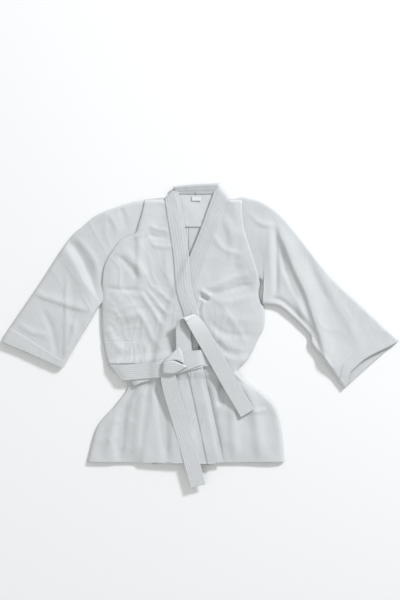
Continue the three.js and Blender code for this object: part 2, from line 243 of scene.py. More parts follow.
def even(line, count):
    """Points at even steps along a line that is made of straight runs."""
    steps = np.linalg.norm(np.diff(line, axis=0), axis=1)
    reach = np.concatenate([[0], np.cumsum(steps)])
    at = np.linspace(0, reach[-1], count)
    return np.column_stack([np.interp(at, reach, line[:, k]) for k in range(line.shape[1])])


def smooth(points, count):
    """Even points along a curve through the given ones."""
    points = np.asarray(points, float)
    if len(points) < 3:
        return even(points, count)
    ends = np.vstack([2 * points[0] - points[1], points, 2 * points[-1] - points[-2]])
    t = np.linspace(0, 1, 20, endpoint=False)[:, None]
    runs = []
    for a, b, c, d in zip(ends, ends[1:], ends[2:], ends[3:]):
        bend = (2 * a - 5 * b + 4 * c - d) * t**2 + (3 * b - a - 3 * c + d) * t**3
        runs.append((2 * b + (c - a) * t + bend) / 2)
    return even(np.vstack([*runs, points[-1:]]), count)


def ruled(left, right, near=None, far=None, across=None, shares=None):
    """Plan grid (rows along the sides, columns across) filled between two lines or four."""
    if shares is None:
        shares = np.linspace(0, 1, len(near) if near is not None else across)
    s = shares[None, :, None]
    t = np.linspace(0, 1, len(left))[:, None, None]
    grid = (1 - s) * left[:, None] + s * right[:, None]
    if near is not None:
        ends = (1 - t) * near[None] + t * far[None]
        corners = (1 - t) * ((1 - s) * near[0] + s * near[-1]) + t * ((1 - s) * far[0] + s * far[-1])
        grid = grid + ends - corners
    return grid


def ease(value, start, end):
    """0 before start, 1 after end, and an even turn between them."""
    t = np.clip((value - start) / (end - start), 0, 1)
    return t * t * (3 - 2 * t)


def beside(line, x, y):
    """How far each place lies to the left of a line, and how far along it, from 0 to 1."""
    nearest = np.full(np.shape(x), np.inf)
    side = np.zeros(np.shape(x))
    along = np.zeros(np.shape(x))
    steps = np.linalg.norm(np.diff(line, axis=0), axis=1)
    reach = np.concatenate([[0], np.cumsum(steps)])
    for i, (a, b) in enumerate(zip(line, line[1:])):
        run = b - a
        t = np.clip(((x - a[0]) * run[0] + (y - a[1]) * run[1]) / (run @ run), 0, 1)
        ex, ey = x - a[0] - t * run[0], y - a[1] - t * run[1]
        distance = np.hypot(ex, ey)
        closer = distance < nearest
        nearest = np.where(closer, distance, nearest)
        side = np.where(closer, np.where(run[0] * ey - run[1] * ex < 0, -1, 1), side)
        along = np.where(closer, (reach[i] + t * steps[i]) / reach[-1], along)
    return nearest * side, along


def wander(x, y, size, seed):
    """Smooth random heights from -1 to 1, with hills about size apart."""
    table = np.random.RandomState(seed).uniform(-1, 1, (64, 64))
    u, v = x / size, y / size
    i, j = np.floor(u).astype(int), np.floor(v).astype(int)
    fu, fv = ease(u - i, 0, 1), ease(v - j, 0, 1)

    def corner(a, b):
        return table[(i + a) % 64, (j + b) % 64]

    low = corner(0, 0) * (1 - fu) + corner(1, 0) * fu
    high = corner(0, 1) * (1 - fu) + corner(1, 1) * fu
    return low * (1 - fv) + high * fv


def wrinkles(x, y, aim, long, wide, seed):
    """Narrow soft ridges, from 0 to 1, that run at an angle (in degrees) and come and go."""
    c, s = np.cos(np.radians(aim)), np.sin(np.radians(aim))
    across = -x * s + y * c + 0.9 * wide * wander(x, y, long * 0.8, seed + 1)
    along = x * c + y * s
    line = wander(along * wide / long, across, wide, seed)
    patch = ease(wander(x, y, long * 1.3, seed + 2), -0.5, 0.7)
    return (1 - np.abs(line)) ** 4 * patch


def folds(lines, x, y):
    """Heights of listed folds. Each has its points, height, and width at its left and right."""
    total = np.zeros(np.shape(x))
    for points, height, left, right in lines:
        line = smooth(plan(*points), 22)
        away, along = beside(line, x, y)
        width = np.where(away > 0, left, right)
        fade = ease(along, -0.05, 0.22) * ease(along, 1.05, 0.78)
        total += height * np.exp(-((away / width) ** 2)) * fade
    return total


def mesh_piece(name, places, faces, material, across=None, puff=None):
    """An object made from places in millimetres, with its quilting's measures if it has any."""
    data = bpy.data.meshes.new(name)
    data.from_pydata((places * MM).tolist(), [], faces)
    data.polygons.foreach_set("use_smooth", [True] * len(data.polygons))
    data.materials.append(material)
    for label, values in (("across", across), ("puff", puff)):
        if values is not None:
            share = data.attributes.new(label, "FLOAT", "POINT")
            share.data.foreach_set("value", np.asarray(values, np.float32).ravel())
    made = bpy.data.objects.new(name, data)
    bpy.context.collection.objects.link(made)
    return made


def settle(piece):
    """Apply a piece's modifiers to its mesh."""
    graph = bpy.context.evaluated_depsgraph_get()
    graph.update()
    final = bpy.data.meshes.new_from_object(piece.evaluated_get(graph))
    piece.modifiers.clear()
    piece.data = final
    return piece


def thicken(piece, thick):
    """Give a sheet its thickness, all of it behind the face that was drawn."""
    shell = piece.modifiers.new("thickness", "SOLIDIFY")
    shell.thickness = thick * MM
    shell.offset = -1
    shell.use_rim = True
    return settle(piece)


def grid_faces(rows, columns):
    corner = np.arange((rows - 1) * columns).reshape(rows - 1, columns)[:, :-1].ravel()
    return np.column_stack([corner, corner + 1, corner + columns + 1, corner + columns]).tolist()


def cloth(name, places, thick, material, quilt=None, puff=None):
    """A sheet whose upper face is the given grid of places, and whose thickness lies below it."""
    rows, columns = places.shape[:2]
    across = np.tile(np.linspace(0, 1, columns), rows)
    puff = np.ones(rows * columns) if puff is None else puff
    faces = grid_faces(rows, columns)
    piece = mesh_piece(name, places.reshape(-1, 3), faces, material, across, puff)
    if quilt:
        quilted(piece, *quilt)
    thicken(piece, thick)
    print(f"{name}: {rows} x {columns} places, {len(piece.data.polygons)} faces")
    return piece


def assign(piece, body, node):
    """Attach a piece to the body it moves with, and hide the solid that it stands for."""
    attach(piece, body)
    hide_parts(node)


# %% [markdown]
# ## Quilting and stitches
#
# Two geometry trees do what repeats. The quilting tree sinks a strap or a band along its sewn
# rows, with the cloth rising between them. The stitch tree walks along drawn lines and lays one
# thread bead at every pitch, each a little longer or shorter than the last.


# %% Quilting and stitches
def new_geometry_tree(name, sizes):
    tree = bpy.data.node_groups.new(name, "GeometryNodeTree")
    tree.interface.new_socket("Geometry", in_out="INPUT", socket_type="NodeSocketGeometry")
    for size, kind, value in sizes:
        made = tree.interface.new_socket(size, in_out="INPUT", socket_type=kind)
        if value is not None:
            made.default_value = value
    tree.interface.new_socket("Geometry", in_out="OUTPUT", socket_type="NodeSocketGeometry")
    bench = Bench(tree)
    source = bench.node("NodeGroupInput")
    wires = {s.name: Wire(bench, s) for s in source.outputs if s.name}
    return bench, wires


def finish_tree(bench, geometry):
    result = bench.node("NodeGroupOutput")
    bench.feed(result.inputs["Geometry"], geometry)
    return bench.tree


def quilting_tree():
    sizes = [("Rows", "NodeSocketFloat", 6.0), ("Depth", "NodeSocketFloat", 0.001)]
    bench, given = new_geometry_tree("quilting", sizes)

    def stored(label):
        settings = {"data_type": "FLOAT"}
        return bench.wire("GeometryNodeInputNamedAttribute", settings, {"Name": label})

    turn = stored("across") * given["Rows"] * np.pi
    swell = turn.maths("SINE", turn).maths("ABSOLUTE", turn.maths("SINE", turn))
    sink = (swell.maths("POWER", swell, 0.6) - 1) * given["Depth"] * stored("puff")
    sunk = {"Vector": bench.wire("GeometryNodeInputNormal"), "Scale": sink}
    drop = bench.wire("ShaderNodeVectorMath", {"operation": "SCALE"}, sunk)
    moved = {"Geometry": given["Geometry"], "Offset": drop}
    return finish_tree(bench, bench.wire("GeometryNodeSetPosition", None, moved))


def stitch_tree():
    sizes = [
        ("Pitch", "NodeSocketFloat", 0.0045),
        ("Length", "NodeSocketFloat", 0.003),
        ("Width", "NodeSocketFloat", 0.0009),
        ("Height", "NodeSocketFloat", 0.0006),
        ("Seed", "NodeSocketInt", 1),
        ("Thread", "NodeSocketMaterial", None),
    ]
    bench, given = new_geometry_tree("stitches", sizes)
    walk = bench.wire("GeometryNodeMeshToCurve", None, {"Mesh": given["Geometry"]})
    step = {"Curve": walk, "Length": given["Pitch"]}
    marks = bench.wire("GeometryNodeResampleCurve", {"mode": "LENGTH"}, step)
    bead = bench.wire("GeometryNodeMeshIcoSphere", None, {"Radius": 0.5, "Subdivisions": 1})
    aim = bench.wire("GeometryNodeInputTangent")
    turn = bench.wire("FunctionNodeAlignRotationToVector", {"axis": "X"}, {"Vector": aim})
    vary = bench.node("FunctionNodeRandomValue", {"data_type": "FLOAT"})
    # A random value node keeps one set of sockets for each kind of number.
    low, high = [s for s in vary.inputs if s.type == "VALUE"][:2]
    low.default_value, high.default_value = 0.85, 1.15
    bench.feed(vary.inputs["Seed"], given["Seed"])
    share = Wire(bench, [s for s in vary.outputs if s.type == "VALUE"][0])
    sizes = {"X": given["Length"] * share, "Y": given["Width"], "Z": given["Height"]}
    size = bench.wire("ShaderNodeCombineXYZ", None, sizes)
    beads = {"Points": marks, "Instance": bead, "Rotation": turn, "Scale": size}
    laid = bench.wire("GeometryNodeInstanceOnPoints", None, beads)
    real = bench.wire("GeometryNodeRealizeInstances", None, {"Geometry": laid})
    threaded = {"Geometry": real, "Material": given["Thread"]}
    return finish_tree(bench, bench.wire("GeometryNodeSetMaterial", None, threaded))


QUILTING = quilting_tree()
STITCHES = stitch_tree()


def add_tree(piece, tree, values):
    """Run a geometry tree on a piece, with its named inputs set by their sockets' identifiers."""
    step = piece.modifiers.new(tree.name, "NODES")
    step.node_group = tree
    for socket in tree.interface.items_tree:
        if socket.in_out == "INPUT" and socket.name in values:
            step[socket.identifier] = values[socket.name]


def quilted(piece, rows, depth):
    add_tree(piece, QUILTING, {"Rows": float(rows), "Depth": depth * MM})


def on_sheet(piece_grid, s, t, lift=0.0):
    """Places on a sheet's upper face, at shares s across it and t along it."""
    rows, columns = piece_grid.shape[:2]
    v, u = np.clip(t, 0, 1) * (rows - 1), np.clip(s, 0, 1) * (columns - 1)
    i, j = np.minimum(v.astype(int), rows - 2), np.minimum(u.astype(int), columns - 2)
    fv, fu = (v - i)[:, None], (u - j)[:, None]
    near = piece_grid[i, j] * (1 - fu) + piece_grid[i, j + 1] * fu
    far = piece_grid[i + 1, j] * (1 - fu) + piece_grid[i + 1, j + 1] * fu
    return near * (1 - fv) + far * fv + np.array([0, 0, lift])


print("geometry trees:", QUILTING.name, STITCHES.name)

# %% [markdown]
# ## How high each layer lies
#
# The jacket is a flat pile of cloth: the belt's back turns, the backs, the left front, the right
# front wrapped over it, the band on the edge of each front, and the tied belt. A layer's height
# is the height of what it lies on, plus its own folds. All the layers of the body share the same
# folds, so no layer comes through another.

# %% How high each layer lies
HEM_Y, SHOULDER_Y = -252, 431
BAND_WIDTH = 42
BELT_WIDTH = 41

# The sides of the body, from the hem up. Above the armpit they are the armhole's edge.
RIGHT_SIDE = plan(
    (-262, HEM_Y), (-236, -161), (-190, -105), (-156, -57), (-171, -34), (-198, -12), (-212, 15),
    (-223, 81), (-225, 162), (-223, 190), (-222, 216), (-218, 252), (-207, 279), (-190, 305),
    (-171, 327), (-138, 341), (-127, 369), (-117, 404), (-112, 430),
)
LEFT_SIDE = plan(
    (250, HEM_Y), (241, -161), (224, -105), (190, -72), (160, -51), (131, -22), (134, -6),
    (151, 10), (168, 38), (181, 67), (195, 93), (199, 117), (197, 148), (190, 164), (185, 176),
    (184, 192), (187, 208), (184, 228), (166, 290), (147, 350), (141, 395), (140, 430),
)
# The free edges of the two lapels, from the hem up to the collar.
RIGHT_FREE = plan(
    (92, HEM_Y), (73, -161), (38, 0), (28, 40), (30, 128), (10, 203), (3, 283), (-8, 359),
    (-23, 443), (-33, 464),
)
LEFT_FREE = plan(
    (-118, HEM_Y), (-84, 0), (-58, 120), (-28, 203), (3, 283), (30, 348), (53, 412), (75, 472),
)
RIGHT_ROOT = (-61, SHOULDER_Y)
LEFT_ROOT = (108, SHOULDER_Y)
BELT_BACK = plan((-231, -23), (-60, 0), (60, 2), (161, -8))
BELT_OUTER = plan((-231, -23), (-64, -9), (20, 18), (60, 16), (161, -8))
BELT_INNER = plan((-220, -50), (-110, -21), (20, 12), (60, 12), (161, -10))

BACK_TOP = 1.8  # the upper face of a back that lies on the floor
BELT_LIFT = 5.2  # how far the belt behind the back lifts it
AIR = 4.5  # the rise of a front over what it lies on
WRAP = 6.5  # the extra rise of the right front over the left one and its band
CLOTH_TOP = 2.5  # a front's upper face above its level
BAND_RISE = 2.6


def seam_of(free, root, away):
    """The line where a band is sewn on: its free edge moved sideways, up to the shoulder."""
    line = smooth(free, 240)
    run = np.gradient(line, axis=0)
    run /= np.linalg.norm(run, axis=1)[:, None]
    moved = line + away * BAND_WIDTH * np.column_stack([run[:, 1], -run[:, 0]])
    moved = moved[moved[:, 1] < SHOULDER_Y - BAND_WIDTH]
    moved[0] = (moved[0, 0], HEM_Y)
    return np.vstack([moved, root])


RIGHT_SEAM = seam_of(RIGHT_FREE, RIGHT_ROOT, -1)
LEFT_SEAM = seam_of(LEFT_FREE, LEFT_ROOT, 1)


def at_height(line, y):
    """Where a line is, sideways, at each height up the body."""
    line = smooth(line, 300)
    order = np.argsort(line[:, 1])
    return np.interp(y, line[order, 1], line[order, 0])


def back_level(x, y):
    belt = np.interp(x, BELT_BACK[:, 0], BELT_BACK[:, 1])
    return BACK_TOP + BELT_LIFT * ease(-np.abs(y - belt), -40, -17)


def left_level(x, y):
    return back_level(x, y) + AIR


def right_level(x, y):
    return left_level(x, y) + WRAP * ease(x - at_height(LEFT_FREE, y), -16, 6)


# Folds of the body: points, height, width to the left of their direction and to its right.
BODY_FOLDS = [
    ([(-114, 425), (-127, 369), (-127, 290), (-125, 195)], 3.4, 14, 8),
    ([(-101, 362), (-75, 352), (-50, 350)], 2.0, 6, 6),
    ([(-104, 340), (-78, 332), (-55, 336)], -1.8, 6, 6),
    ([(-98, 314), (-62, 306), (-38, 310)], 2.0, 7, 6),
    ([(-184, 290), (-148, 252), (-124, 216)], -2.8, 8, 8),
    ([(-166, 300), (-134, 262), (-108, 222)], 2.8, 11, 10),
    ([(-218, 202), (-170, 196), (-122, 197)], -2.4, 5, 8),
    ([(-205, 178), (-165, 160), (-138, 112)], 4.5, 24, 26),
    ([(-210, 100), (-190, 60), (-160, 30)], 3.5, 12, 12),
    ([(-124, 190), (-96, 150), (-62, 96)], 3.0, 6, 8),
    ([(-110, 200), (-84, 168), (-52, 128)], 2.4, 5, 7),
    ([(-136, 150), (-110, 108), (-84, 50)], 2.6, 7, 7),
    ([(-96, 210), (-66, 184), (-40, 158)], 2.0, 5, 6),
    ([(-60, 300), (-52, 230), (-30, 180)], 2.0, 10, 9),
    ([(143, 426), (143, 390), (145, 352)], -2.2, 8, 8),
    ([(90, 390), (112, 330), (108, 262)], 2.4, 13, 10),
    ([(62, 342), (92, 302), (146, 284)], 2.0, 8, 8),
    ([(40, 196), (84, 210), (125, 228), (170, 236)], 3.2, 9, 10),
    ([(48, 186), (90, 190), (134, 204), (176, 206)], -2.6, 8, 8),
    ([(32, 182), (42, 173), (54, 167)], -8.5, 5, 4),
    ([(30, 196), (46, 186), (62, 176)], 4.0, 6, 5),
    ([(36, 168), (30, 152), (27, 134)], -3.0, 4, 4),
    ([(60, 168), (112, 164), (182, 186)], 2.4, 9, 12),
    ([(54, 152), (110, 120), (188, 116)], 1.8, 12, 14),
    ([(50, 124), (92, 84), (182, 76)], -2.0, 9, 9),
    ([(50, 98), (96, 58), (152, 34)], 2.2, 11, 11),
    ([(84, 160), (124, 104), (150, 60)], 1.8, 7, 10),
    ([(70, 66), (100, 34), (138, 14)], -2.2, 8, 8),
    ([(44, 78), (74, 40), (104, 14)], 2.4, 8, 8),
    ([(-128, -36), (-160, -92), (-172, -150), (-180, -250)], -9.0, 11, 15),
    ([(-112, -44), (-122, -110), (-134, -250)], 4.5, 12, 14),
    ([(-92, -38), (-68, -110), (-54, -250)], -6.0, 9, 11),
    ([(-148, -62), (-186, -140), (-214, -246)], 5.0, 16, 12),
    ([(38, -30), (58, -100), (84, -250)], -5.0, 10, 8),
    ([(-40, -50), (-34, -150), (-40, -250)], 2.4, 14, 12),
    ([(104, -24), (90, -62), (82, -110)], -7.5, 9, 10),
    ([(128, -34), (118, -130), (122, -250)], 4.6, 13, 13),
    ([(138, -40), (172, -120), (190, -250)], 5.0, 16, 14),
    ([(160, -118), (184, -120), (206, -113)], 2.4, 6, 6),
]


def body_relief(x, y):
    """The folds and wrinkles that all of the body's layers share."""
    belt = np.interp(x, BELT_OUTER[:, 0], BELT_OUTER[:, 1])
    near_belt = np.abs(y - belt)
    high = folds(BODY_FOLDS, x, y)
    high += 2.9 * wander(x, y, 70, 11) + 0.9 * wander(x, y, 31, 12)
    high += (1.5 - 0.7 * ease(x, 20, 60)) * wrinkles(x, y, 78, 70, 18, 21) * ease(y, 330, 120)
    high += (1.5 - 1.1 * ease(x, 20, 60)) * wrinkles(x, y, 118, 80, 20, 31) * ease(y, -60, 60)
    high += 1.3 * wrinkles(x, y, 12, 60, 15, 41) * ease(y, 0, 80)
    gathers = wrinkles(x, y, 86, 60, 10, 51) + wrinkles(x, y, 98, 50, 8, 61)
    high += (1.9 - 1.4 * ease(x, 20, 70)) * gathers * ease(near_belt, 95, 30)
    return high * (1 - 0.88 * np.exp(-((near_belt / 25) ** 2)))


def rounded(away, width):
    """0 at an edge and 1 past the width, as a quarter circle."""
    t = np.clip(away / width, 0, 1)
    return np.sqrt(1 - (1 - t) ** 2)


# %% [markdown]
# ## The backs, the shoulder lining and the label
#
# Two back panels meet at the centre seam. They lie on the floor and over the belt, so they are
# nearly flat. The lining is a small trapezium inside the neck, and the label is sewn to it by
# its upper edge, which is why the label has its own body and can flip.

# %% The backs, the lining and the label
FINE = 3.0  # spacing of a laid sheet's grid
CLOTH = 1.1  # thickness of the jacket's cloth
SEAM_TOP = 3.2  # the upper face of a layer where it is sewn to another at the body's edge


def counts(length):
    """How many grid lines a length gets."""
    return int(round(length / FINE)) + 1


BODY_ROWS = counts(700)


def back_grid(side):
    outer = smooth(RIGHT_SIDE if side == "right" else LEFT_SIDE, BODY_ROWS)
    inner = even(plan((0, HEM_Y), (0, SHOULDER_Y + 12)), BODY_ROWS)
    lines = (outer, inner) if side == "right" else (inner, outer)
    grid = ruled(*lines, across=counts(200))
    x, y = grid[..., 0], grid[..., 1]
    away = np.abs(x - outer[:, :1])
    flat = back_level(x, y) + 0.7 * wander(x, y, 60, 71) + 0.5 * wander(x, y, 25, 72)
    heights = SEAM_TOP + (flat - SEAM_TOP) * rounded(away, 12)
    centre_seam = 0.5 * np.exp(-((x / 3) ** 2))
    return grid, np.maximum(heights - centre_seam, 1.3)


backs = {}
for side in ("right", "left"):
    grid, heights = back_grid(side)
    backs[side] = cloth(f"back_{side}", np.dstack([grid, heights]), CLOTH, jacket_cotton)
    assign(backs[side], "jacket", f"back_panel_{side}")

lining_left = even(plan((-12, 358), (-37, 445)), counts(90))
lining_right = even(plan((52, 358), (79, 445)), counts(90))
lining_grid = ruled(lining_left, lining_right, across=counts(116))
x, y = lining_grid[..., 0], lining_grid[..., 1]
lining_z = back_level(x, y) + 2.2 + 0.9 * wander(x, y, 34, 81) + 0.5 * wander(x, y, 13, 82)
lining_face = np.dstack([lining_grid, lining_z])
lining = cloth("shoulder_lining", lining_face, 0.8, lining_cotton)
assign(lining, "jacket", "yoke_lining")

LABEL_LEFT, LABEL_RIGHT = 10, 34
LABEL_LOW, LABEL_TOP = 426, 438
label_grid = ruled(
    even(plan((LABEL_LEFT, LABEL_LOW), (LABEL_LEFT, LABEL_TOP)), 9),
    even(plan((LABEL_RIGHT, LABEL_LOW), (LABEL_RIGHT, LABEL_TOP)), 9),
    across=17,
)
label_z = 6.3 + 0.6 * ease(LABEL_TOP - label_grid[..., 1], 0, LABEL_TOP - LABEL_LOW)
label_z = label_z + 0.25 * np.sin(label_grid[..., 0] / 4)
label_face = np.dstack([label_grid, label_z])
label = cloth("neck_label_tape", label_face, 0.35, label_satin)
assign(label, "label", "neck_label")

# %% [markdown]
# ## The two fronts
#
# Each front runs from its side seam to the band. Its side edge rolls down to meet the back, and
# beside the sleeve it lies over the sleeve's head instead. At the shoulder it rolls over to the
# back without a seam.

# %% The two fronts
ARMPIT_Y = {"right": 182, "left": 214}
UNDER_BAND = 3  # how far a front goes on beyond the line where its band is sewn on
EDGE_TOP = 3.9  # the upper face of a front's side edge, below the armpit
# An armhole is a flat seam, but the lower part of the right one stands up over the sleeve.
SEAM_RISE, LIFTED_RISE = 5.9, 8.4
SEAM_ROLL, LIFTED_ROLL = 6, 13


def lifted_share(side, y):
    """1 where a front's edge stands up over the sleeve, and 0 where it is a flat seam."""
    return ease(y, 354, 336) if side == "right" else 0 * y


def edge_level(side, y, armpit_y):
    """How high a front's side edge lies: on the back below the armpit, on the sleeve above it."""
    rise = SEAM_RISE + (LIFTED_RISE - SEAM_RISE) * lifted_share(side, y)
    return EDGE_TOP + rise * ease(y, armpit_y - 6, armpit_y + 34)


def edge_share(away):
    """The share of the body's folds that shows at a distance from a front's side edge."""
    return 0.35 + 0.65 * ease(away, 2, 26)


def front_heights(side, grid):
    x, y = grid[..., 0], grid[..., 1]
    level = right_level(x, y) if side == "right" else left_level(x, y)
    outer = grid[:, :1] if side == "right" else grid[:, -1:]
    away = np.hypot(x - outer[..., 0], y - outer[..., 1])
    armpit_y = ARMPIT_Y[side]
    over_sleeve = 4.5 * ease(y, armpit_y - 6, armpit_y + 34) * ease(away, 60, 16)
    high = level + over_sleeve + CLOTH_TOP + body_relief(x, y) * edge_share(away)
    base = edge_level(side, y, armpit_y)
    lifted = np.maximum(lifted_share(side, y), ease(y, armpit_y + 34, armpit_y))
    roll = SEAM_ROLL + (LIFTED_ROLL - SEAM_ROLL) * lifted
    high = base + (high - base) * rounded(away / roll, 1)
    shoulder = rounded(SHOULDER_Y + 1 - y, 12) * ease(SHOULDER_Y + 4 - y, 0, 12)
    # A deep fold stops on the cloth that lies below it.
    lowest = back_level(x, y) + 1.4
    if side == "right":
        lowest = lowest + 6.8 * ease(x - at_height(LEFT_FREE, y), -16, 6)
    return np.maximum(SEAM_TOP + (high - SEAM_TOP) * shoulder, lowest)


def front_grid(side):
    seam, edge = (RIGHT_SEAM, RIGHT_SIDE) if side == "right" else (LEFT_SEAM, LEFT_SIDE)
    seam = seam.copy()
    seam[:-1, 0] += UNDER_BAND if side == "right" else -UNDER_BAND
    seam, edge = even(seam, BODY_ROWS), smooth(edge, BODY_ROWS)
    lines = (edge, seam) if side == "right" else (seam, edge)
    return ruled(*lines, across=counts(230))


fronts = {}
front_faces = {}
for side in ("left", "right"):
    grid = front_grid(side)
    front_faces[side] = np.dstack([grid, front_heights(side, grid)])
    fronts[side] = cloth(f"front_{side}", front_faces[side], CLOTH, jacket_cotton)
    assign(fronts[side], "jacket", f"front_panel_{side}")

# %% [markdown]
# ## The band: two lapels and the back of the collar
#
# The band is several layers of cotton sewn together in six long rows. Each lapel lies on its
# front's edge and over whatever that edge lies on. Behind the neck the band stands up, turns
# over at its top and goes down behind the backs.

# %% The band
BAND_ROWS = 6
BAND_PUFF = 0.65
BAND_QUILT = (BAND_ROWS, BAND_PUFF)
LAPEL_RUN = 740
FREE_DROP = 1.1  # how far a lapel's free edge turns down
LAPEL_END = 6.0  # the upper face of a lapel at its slanting end
LAPEL_LENGTH = {"right": 0.707, "left": 0.750}


def lapel_face(side):
    """The upper face of a lapel, from the hem to its slanting end at the shoulder."""
    seam, free = (RIGHT_SEAM, RIGHT_FREE) if side == "right" else (LEFT_SEAM, LEFT_FREE)
    seam, free = even(seam, counts(LAPEL_RUN)), smooth(free, counts(LAPEL_RUN))
    lines = (seam, free) if side == "right" else (free, seam)
    grid = ruled(*lines, across=6 * BAND_ROWS + 1)
    x, y = grid[..., 0], grid[..., 1]
    level = right_level(x, y) if side == "right" else left_level(x, y)
    s = np.linspace(0, 1, grid.shape[1])[None, :]
    from_free = 1 - s if side == "right" else s
    share = 0.55 + 0.45 * ease(from_free, 0.5, 1)
    high = level + CLOTH_TOP + BAND_RISE + body_relief(x, y) * share
    high = high - 1.6 * ease(from_free, 0.35, 0)
    high = np.maximum(high, back_level(x, y) + 5.0)
    high -= FREE_DROP * (1 - rounded(from_free * BAND_WIDTH, 2.5))
    high -= (BAND_RISE - 0.5) * (1 - rounded((1 - from_free) * BAND_WIDTH, 6))
    to_end = np.linspace(LAPEL_RUN, 0, len(seam))[:, None]
    return np.dstack([grid, LAPEL_END + (high - LAPEL_END) * rounded(to_end + 1.5, 16)])


lapel_faces = {}
for side in ("left", "right"):
    face = lapel_face(side)
    lapel_faces[side] = face
    # The rows stand out above the belt, and are pressed flat below it.
    pressed = 0.25 + 0.75 * ease(face[..., 1], 60, 150)
    lapel = cloth(f"lapel_band_{side}", face, 3.6, band_cotton, BAND_QUILT, pressed)
    assign(lapel, "jacket", f"lapel_{side}")
    length = LAPEL_LENGTH[side]

COLLAR_LOW = 443
NECK_X = 21
# The band behind the neck in section: share of the way from its seam to its top edge, and height.
COLLAR_SECTION = plan(
    (0, 5.6), (0.25, 8.2), (0.55, 11.8), (0.82, 14.4), (0.95, 14.6), (1.01, 12.2), (1.0, 8.5),
    (0.93, 5.0), (0.8, 3.9),
)
share, height = smooth(COLLAR_SECTION, 6 * BAND_ROWS + 1).T
collar_x = np.linspace(-35, 77, counts(112))[:, None]
collar_top = np.interp(collar_x, [-35, NECK_X, 77], [463, 468.5, 471])
sag = 1.2 * np.sin(collar_x / 9) + 0.8 * np.sin(collar_x / 4.1 + 1)
pucker = np.sin(collar_x / 1.35) * ease(np.abs(collar_x - 22), 34, 14)
collar_face = np.empty((len(collar_x), len(share), 3))
collar_face[..., 0] = collar_x - 4.8 * (share - 0.5) * np.sign(NECK_X - collar_x)
collar_face[..., 1] = COLLAR_LOW + (collar_top - COLLAR_LOW) * share
collar_face[..., 2] = height + 0.35 * sag * np.sin(np.pi * share)
collar_face[..., 2] += 0.45 * pucker * np.exp(-(((share - 0.62) / 0.2) ** 2))
collar_face = collar_face[::-1]
collar = cloth("collar_band", collar_face, 3.0, band_cotton, BAND_QUILT)
assign(collar, "jacket", "collar_back")

# %% [markdown]
# ## Patch and inner ties
#
# A small square of cloth strengthens the right side seam above the belt. Inside, two narrow
# ties hold the left front to the right side seam, with a flat knot where they meet.

# %% Patch and inner ties
PATCH_RIGHT, PATCH_TOP, PATCH_LOW = -134, 60, 3
patch_side = smooth(RIGHT_SIDE, 400)
patch_side = patch_side[(patch_side[:, 1] > PATCH_LOW) & (patch_side[:, 1] < PATCH_TOP)]
patch_left = even(patch_side + plan((1.5, 0)), counts(66))
patch_right = plan((PATCH_RIGHT + 2, PATCH_LOW), (PATCH_RIGHT, 40), (PATCH_RIGHT - 4, PATCH_TOP))
patch_grid = ruled(patch_left, smooth(patch_right, counts(66)), across=counts(78))
x, y = patch_grid[..., 0], patch_grid[..., 1]
away = np.abs(x - at_height(RIGHT_SIDE, y))
patch_z = right_level(x, y) + CLOTH_TOP + body_relief(x, y) * edge_share(away)
patch_z = EDGE_TOP + (patch_z - EDGE_TOP) * rounded(away, LIFTED_ROLL) + 1.5
patch_face = np.dstack([patch_grid, patch_z])
patch = cloth("side_patch", patch_face, 1.2, jacket_cotton)
assign(patch, "jacket", "side_patch_right")

TIE_WIDTH, TIE_Y, TIE_MEET = 14, 98, -112


def strip(start, end):
    """Plan grid of a straight length of tie."""
    line = plan(start, end)
    length = np.linalg.norm(line[1] - line[0])
    run = (line[1] - line[0]) / length
    side = np.array([-run[1], run[0]]) * TIE_WIDTH / 2
    rows = max(4, counts(length))
    return ruled(even(line - side, rows), even(line + side, rows), across=7)


TIES = [
    ("inner_tie_side", (-212, TIE_Y - 4), (TIE_MEET - 9, TIE_Y), 0.1),
    ("inner_tie_front", (TIE_MEET + 9, TIE_Y), (-62, TIE_Y + 2), 0.1),
    ("inner_tie_knot", (TIE_MEET - 8, TIE_Y), (TIE_MEET + 8, TIE_Y), 1.5),
]
for name, start, end, rise in TIES:
    grid = strip(end, start)
    heights = back_level(grid[..., 0], grid[..., 1]) + 1.6 + rise
    tie = cloth(f"{name}_tape", np.dstack([grid, heights]), 0.8 + rise / 2, belt_cotton)
    assign(tie, "jacket", name)
    length = abs(end[0] - start[0]) * MM

# %% [markdown]
# ## Sleeves
#
# A sleeve is a flat tube. Its two layers share a rounded edge at the top and under the arm, and
# its mouth is open at the cuff. Its root is tucked under the armhole's edge. The cuff is the same
# tube's last stretch, turned back into a thicker hem. The left cuff's upper layer is pulled back
# from the lower one, so a sliver of the inside shows.

